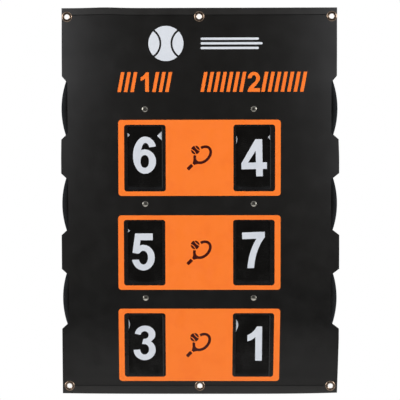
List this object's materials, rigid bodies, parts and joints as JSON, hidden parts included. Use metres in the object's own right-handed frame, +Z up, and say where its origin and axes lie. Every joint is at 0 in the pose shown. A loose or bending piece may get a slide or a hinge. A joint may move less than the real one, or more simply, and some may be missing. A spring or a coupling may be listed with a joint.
{
  "type": "tennis scoreboard",
  "caption": "Hanging tennis scoreboard of two flexible sheets with windows, finger notches, hems and eyelets, holding turning number discs on riveted pivots.",
  "frame": {"origin": "middle of the board, halfway between its front and back, on the centre of the corner eyelets", "axes": "-Y out of the front, towards the reader; +X to the reader's right; +Z up"},
  "size_m": [0.6, 0.0092, 0.84],
  "materials": {
    "front_sheet": "satin printed coated fabric",
    "back_sheet": "satin coated fabric",
    "disc": "glossy, with printed white numbers",
    "pivot": "bright nickel plate",
    "washer": "natural nylon",
    "eyelet": "polished, slightly tarnished",
    "print_orange": "printed ink",
    "print_white": "printed ink",
    "print_black": "printed ink"
  },
  "bodies": {
    "board": {"front_sheet": "front_sheet", "back_sheet": "back_sheet", "pivot_post_left_1": "pivot", "pivot_screw_left_1": "pivot", "front_washer_left_1": "washer", "back_washer_left_1": "washer", "pivot_post_left_2": "pivot", "pivot_screw_left_2": "pivot", "front_washer_left_2": "washer", "back_washer_left_2": "washer", "pivot_post_left_3": "pivot", "pivot_screw_left_3": "pivot", "front_washer_left_3": "washer", "back_washer_left_3": "washer", "pivot_post_right_1": "pivot", "pivot_screw_right_1": "pivot", "front_washer_right_1": "washer", "back_washer_right_1": "washer", "pivot_post_right_2": "pivot", "pivot_screw_right_2": "pivot", "front_washer_right_2": "washer", "back_washer_right_2": "washer", "pivot_post_right_3": "pivot", "pivot_screw_right_3": "pivot", "front_washer_right_3": "washer", "back_washer_right_3": "washer", "eyelet_top_left": "eyelet", "eyelet_ring_top_left": "eyelet", "eyelet_top_middle": "eyelet", "eyelet_ring_top_middle": "eyelet", "eyelet_top_right": "eyelet", "eyelet_ring_top_right": "eyelet", "eyelet_bottom_left": "eyelet", "eyelet_ring_bottom_left": "eyelet", "eyelet_bottom_middle": "eyelet", "eyelet_ring_bottom_middle": "eyelet", "eyelet_bottom_right": "eyelet", "eyelet_ring_bottom_right": "eyelet"},
    "disc_left_1": {"disc_left_1": "disc"},
    "disc_left_2": {"disc_left_2": "disc"},
    "disc_left_3": {"disc_left_3": "disc"},
    "disc_right_1": {"disc_right_1": "disc"},
    "disc_right_2": {"disc_right_2": "disc"},
    "disc_right_3": {"disc_right_3": "disc"}
  },
  "joints": [
    {"name": "turn_left_1", "type": "hinge", "parent": "board", "child": "disc_left_1", "pos_m": [-0.118, 0, 0.2035], "axis": [-0.0034, 1, -0.0078], "continuous": true},
    {"name": "turn_left_2", "type": "hinge", "parent": "board", "child": "disc_left_2", "pos_m": [-0.118, 0, -0.0025], "axis": [-0.0034, 1, -0.0078], "continuous": true},
    {"name": "turn_left_3", "type": "hinge", "parent": "board", "child": "disc_left_3", "pos_m": [-0.118, 0, -0.2085], "axis": [-0.0034, 1, -0.0078], "continuous": true},
    {"name": "turn_right_1", "type": "hinge", "parent": "board", "child": "disc_right_1", "pos_m": [0.118, 0, 0.2035], "axis": [-0.0034, 1, -0.0078], "continuous": true},
    {"name": "turn_right_2", "type": "hinge", "parent": "board", "child": "disc_right_2", "pos_m": [0.118, 0, -0.0025], "axis": [-0.0034, 1, -0.0078], "continuous": true},
    {"name": "turn_right_3", "type": "hinge", "parent": "board", "child": "disc_right_3", "pos_m": [0.118, 0, -0.2085], "axis": [-0.0034, 1, -0.0078], "continuous": true}
  ]
}
